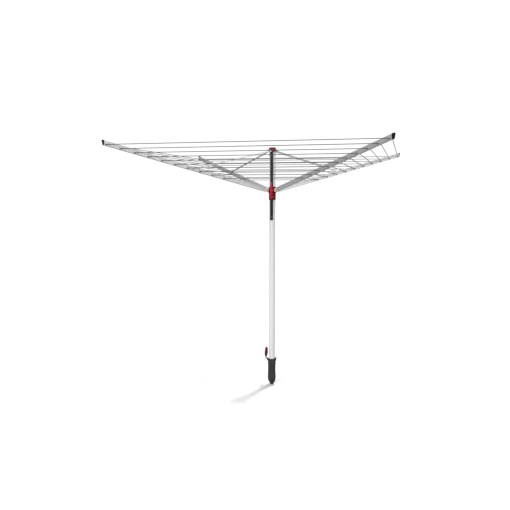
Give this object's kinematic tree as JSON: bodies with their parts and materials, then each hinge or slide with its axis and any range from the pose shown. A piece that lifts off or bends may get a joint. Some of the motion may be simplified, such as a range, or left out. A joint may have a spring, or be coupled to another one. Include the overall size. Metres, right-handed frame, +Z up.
{
  "type": "rotary clothesline",
  "caption": "Folding rotary clothesline: mast in a lidded ground socket, sliding runner with lever, hinged arms and struts carrying square rings of line.",
  "frame": {"origin": "lowest point of the ground socket, on the mast's axis", "axes": "+Z up along the mast; the release lever faces -Y; the open arms lie over the diagonals between X and Y"},
  "size_m": [1.9712, 1.9712, 1.9666],
  "materials": {
    "socket_plastic": "moulded, fine grain",
    "lid_plastic": "moulded, satin",
    "strap_plastic": "flexible moulding, satin",
    "sleeve_plastic": "moulded, satin",
    "mast_coating": "powder coat, satin",
    "plug_plastic": "moulded",
    "rack_plastic": "moulded, satin",
    "fastener_steel": "zinc plated",
    "hub_plastic": "moulded, satin",
    "cap_plastic": "moulded, satin",
    "runner_plastic": "moulded, satin",
    "bush_plastic": "acetal, satin",
    "lever_plastic": "moulded, semi-gloss",
    "pawl_steel": "hardened",
    "spring_steel": "drawn wire",
    "arm_aluminium": "extruded, anodised",
    "heel_plastic": "moulded",
    "tip_plastic": "moulded",
    "guide_plastic": "moulded",
    "line_sheath": "extruded sheath",
    "strut_aluminium": "pressed, anodised"
  },
  "bodies": {
    "socket": {"socket_body": "socket_plastic", "lid_hinge_pin": "fastener_steel"},
    "lid": {"socket_lid": "lid_plastic", "lid_strap": "strap_plastic"},
    "sleeve": {"socket_sleeve": "sleeve_plastic"},
    "mast": {"mast_tube": "mast_coating", "mast_foot_plug": "plug_plastic", "rack_strip": "rack_plastic", "rack_rivets": "fastener_steel", "top_hub": "hub_plastic", "top_cap": "cap_plastic", "hub_screws": "fastener_steel", "strut_pivot_pins": "fastener_steel"},
    "runner": {"runner_body": "runner_plastic", "runner_bushes": "bush_plastic", "arm_pivot_pins": "fastener_steel", "lever_pivot_pin": "fastener_steel", "lever_spring": "spring_steel"},
    "lever": {"release_lever": "lever_plastic", "lever_pawl": "pawl_steel"},
    "arm_1": {"arm_1_tube": "arm_aluminium", "arm_1_heel": "heel_plastic", "arm_1_tip_cap": "tip_plastic", "arm_1_line_guides": "guide_plastic", "arm_1_rivet": "fastener_steel", "clothes_line_1": "line_sheath"},
    "strut_1": {"strut_1_channel": "strut_aluminium", "strut_1_rivet": "fastener_steel"},
    "arm_2": {"arm_2_tube": "arm_aluminium", "arm_2_heel": "heel_plastic", "arm_2_tip_cap": "tip_plastic", "arm_2_line_guides": "guide_plastic", "arm_2_rivet": "fastener_steel", "clothes_line_2": "line_sheath"},
    "strut_2": {"strut_2_channel": "strut_aluminium", "strut_2_rivet": "fastener_steel"},
    "arm_3": {"arm_3_tube": "arm_aluminium", "arm_3_heel": "heel_plastic", "arm_3_tip_cap": "tip_plastic", "arm_3_line_guides": "guide_plastic", "arm_3_rivet": "fastener_steel", "clothes_line_3": "line_sheath"},
    "strut_3": {"strut_3_channel": "strut_aluminium", "strut_3_rivet": "fastener_steel"},
    "arm_4": {"arm_4_tube": "arm_aluminium", "arm_4_heel": "heel_plastic", "arm_4_tip_cap": "tip_plastic", "arm_4_line_guides": "guide_plastic", "arm_4_rivet": "fastener_steel", "clothes_line_4": "line_sheath"},
    "strut_4": {"strut_4_channel": "strut_aluminium", "strut_4_rivet": "fastener_steel"}
  },
  "joints": [
    {"name": "lid_hinge", "type": "hinge", "parent": "socket", "child": "lid", "pos_m": [-0.044, 0, 0.226], "axis": [0, -1, 0], "range_deg": [-6, 100]},
    {"name": "mast_turn", "type": "hinge", "parent": "socket", "child": "sleeve", "pos_m": [0, 0, 0.14], "axis": [0, 0, 1], "continuous": true},
    {"name": "mast_lift", "type": "slide", "parent": "sleeve", "child": "mast", "axis": [0, 0, 1], "range_m": [0, 0.15]},
    {"name": "runner_slide", "type": "slide", "parent": "mast", "child": "runner", "axis": [0, 0, -1], "range_m": [0, 1.038]},
    {"name": "lever_release", "type": "hinge", "parent": "runner", "child": "lever", "pos_m": [0, -0.035, 1.57], "axis": [1, 0, 0], "range_deg": [0, 12], "stiffness_Nm_per_rad": 0.2, "springref_deg": -11.46, "deforming": ["lever_spring"]},
    {"name": "arm_1_fold", "type": "hinge", "parent": "runner", "child": "arm_1", "pos_m": [-0.03536, -0.03536, 1.623], "axis": [-0.7071, 0.7071, 0], "range_deg": [0, 76.32], "deforming": ["clothes_line_1"]},
    {"name": "strut_1_fold", "type": "hinge", "parent": "mast", "child": "strut_1", "pos_m": [-0.02546, -0.02546, 1.933], "axis": [0.7071, -0.7071, 0], "range_deg": [0, 76.28]},
    {"name": "arm_2_fold", "type": "hinge", "parent": "runner", "child": "arm_2", "pos_m": [0.03536, -0.03536, 1.623], "axis": [-0.7071, -0.7071, 0], "range_deg": [0, 76.32], "deforming": ["clothes_line_2"]},
    {"name": "strut_2_fold", "type": "hinge", "parent": "mast", "child": "strut_2", "pos_m": [0.02546, -0.02546, 1.933], "axis": [0.7071, 0.7071, 0], "range_deg": [0, 76.28]},
    {"name": "arm_3_fold", "type": "hinge", "parent": "runner", "child": "arm_3", "pos_m": [0.03536, 0.03536, 1.623], "axis": [0.7071, -0.7071, 0], "range_deg": [0, 76.32], "deforming": ["clothes_line_3"]},
    {"name": "strut_3_fold", "type": "hinge", "parent": "mast", "child": "strut_3", "pos_m": [0.02546, 0.02546, 1.933], "axis": [-0.7071, 0.7071, 0], "range_deg": [0, 76.28]},
    {"name": "arm_4_fold", "type": "hinge", "parent": "runner", "child": "arm_4", "pos_m": [-0.03536, 0.03536, 1.623], "axis": [0.7071, 0.7071, 0], "range_deg": [0, 76.32], "deforming": ["clothes_line_4"]},
    {"name": "strut_4_fold", "type": "hinge", "parent": "mast", "child": "strut_4", "pos_m": [-0.02546, 0.02546, 1.933], "axis": [-0.7071, -0.7071, 0], "range_deg": [0, 76.28]}
  ],
  "couplings": [
    {"joint": "arm_1_fold", "follows": "runner_slide", "rad_per_m": 1.2829},
    {"joint": "strut_1_fold", "follows": "runner_slide", "rad_per_m": 1.2766},
    {"joint": "arm_2_fold", "follows": "runner_slide", "rad_per_m": 1.2829},
    {"joint": "strut_2_fold", "follows": "runner_slide", "rad_per_m": 1.2766},
    {"joint": "arm_3_fold", "follows": "runner_slide", "rad_per_m": 1.2829},
    {"joint": "strut_3_fold", "follows": "runner_slide", "rad_per_m": 1.2766},
    {"joint": "arm_4_fold", "follows": "runner_slide", "rad_per_m": 1.2829},
    {"joint": "strut_4_fold", "follows": "runner_slide", "rad_per_m": 1.2766}
  ]
}
